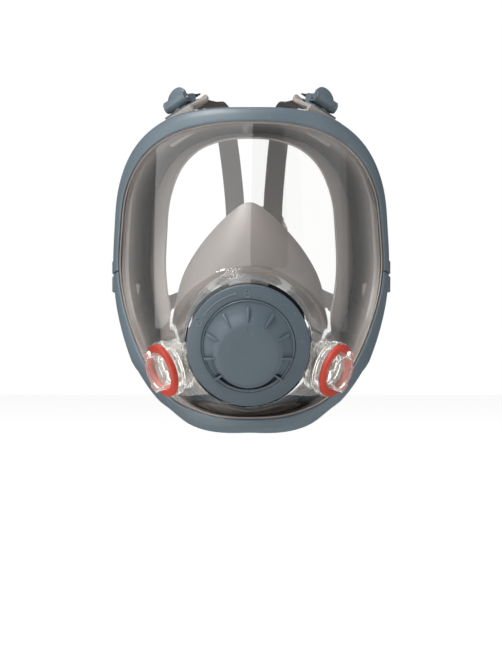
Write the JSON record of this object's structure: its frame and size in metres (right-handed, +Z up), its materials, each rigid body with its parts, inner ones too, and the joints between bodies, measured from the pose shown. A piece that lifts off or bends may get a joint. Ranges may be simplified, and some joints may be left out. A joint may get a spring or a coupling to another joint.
{
  "type": "full face respirator",
  "caption": "Full face respirator with a panoramic lens in a clamp frame, side bayonet filter ports, a front exhalation valve under a twist cover, a nose cup and a buckled head harness.",
  "frame": {"origin": "middle of the face opening, on the symmetry plane, level with the seam of the two frame halves", "axes": "+X towards the wearer's left (right as seen from the front), -Y forwards out of the lens, +Z up; left and right in names are as seen from the front, so left is -X"},
  "size_m": [0.2012, 0.2531, 0.2449],
  "materials": {
    "clear": "clear polycarbonate",
    "shell": "fine textured blue grey nylon",
    "silicone": "satin warm grey silicone",
    "gasket": "orange red rubber",
    "steel": "bright zinc",
    "seal_ring": "dark rubber",
    "seat": "off white nylon",
    "flap": "translucent silicone",
    "strap": "dark ribbed rubber webbing"
  },
  "bodies": {
    "mask": {"lens": "clear", "frame_upper": "shell", "frame_lower": "shell", "frame_screws": "steel", "frame_nuts": "steel", "face_seal": "silicone", "nose_cup": "silicone", "nose_valve_seat_left": "seat", "nose_valve_seat_right": "seat", "port_left": "clear", "port_right": "clear", "port_gasket_left": "gasket", "port_gasket_right": "gasket", "adapter_body": "shell", "adapter_gasket": "seal_ring", "exhalation_seat": "seat", "cover_ring": "shell", "cover_o_ring": "seal_ring", "buckle_base_upper_left": "shell", "buckle_base_upper_right": "shell", "buckle_base_lower_left": "shell", "buckle_base_lower_right": "shell", "buckle_pins": "steel", "lug_rivets": "steel", "strap_upper_left": "strap", "strap_upper_right": "strap", "strap_lower_left": "strap", "strap_lower_right": "strap", "crown_pad": "silicone"},
    "cover": {"valve_cover": "shell"},
    "exhalation_flap": {"exhalation_valve": "flap"},
    "inhalation_flap_left": {"inhalation_valve_left": "flap"},
    "nose_flap_left": {"nose_valve_left": "flap"},
    "lever_upper_left": {"buckle_lever_upper_left": "shell"},
    "lever_lower_left": {"buckle_lever_lower_left": "shell"},
    "inhalation_flap_right": {"inhalation_valve_right": "flap"},
    "nose_flap_right": {"nose_valve_right": "flap"},
    "lever_upper_right": {"buckle_lever_upper_right": "shell"},
    "lever_lower_right": {"buckle_lever_lower_right": "shell"}
  },
  "joints": [
    {"name": "cover_turn", "type": "hinge", "parent": "mask", "child": "cover", "pos_m": [0, -0.095, -0.053], "axis": [0, -0.9877, -0.1564], "range_deg": [0, 65]},
    {"name": "exhalation_lift", "type": "slide", "parent": "mask", "child": "exhalation_flap", "axis": [0, -0.9877, -0.1564], "range_m": [0, 0.0015], "stiffness_N_per_m": 60},
    {"name": "inhalation_lift_left", "type": "slide", "parent": "mask", "child": "inhalation_flap_left", "axis": [0.8244, 0.4725, 0.3117], "range_m": [0, 0.0014], "stiffness_N_per_m": 40},
    {"name": "nose_flap_lift_left", "type": "slide", "parent": "mask", "child": "nose_flap_left", "axis": [0.9, 0.35, 0.26], "range_m": [0, 0.0014], "stiffness_N_per_m": 40},
    {"name": "lever_upper_left_lift", "type": "hinge", "parent": "mask", "child": "lever_upper_left", "pos_m": [-0.05184, -0.0204, 0.11773], "axis": [0.7568, -0.5013, 0.4195], "range_deg": [0, 45]},
    {"name": "lever_lower_left_lift", "type": "hinge", "parent": "mask", "child": "lever_lower_left", "pos_m": [-0.08649, 0.03342, -0.02592], "axis": [0.0089, 0.0392, 0.9992], "range_deg": [0, 45]},
    {"name": "inhalation_lift_right", "type": "slide", "parent": "mask", "child": "inhalation_flap_right", "axis": [-0.8244, 0.4725, 0.3117], "range_m": [0, 0.0014], "stiffness_N_per_m": 40},
    {"name": "nose_flap_lift_right", "type": "slide", "parent": "mask", "child": "nose_flap_right", "axis": [-0.9, 0.35, 0.26], "range_m": [0, 0.0014], "stiffness_N_per_m": 40},
    {"name": "lever_upper_right_lift", "type": "hinge", "parent": "mask", "child": "lever_upper_right", "pos_m": [0.05184, -0.0204, 0.11773], "axis": [0.7568, 0.5013, -0.4195], "range_deg": [0, 45]},
    {"name": "lever_lower_right_lift", "type": "hinge", "parent": "mask", "child": "lever_lower_right", "pos_m": [0.08649, 0.03342, -0.02592], "axis": [0.0089, -0.0392, -0.9992], "range_deg": [0, 45]}
  ]
}
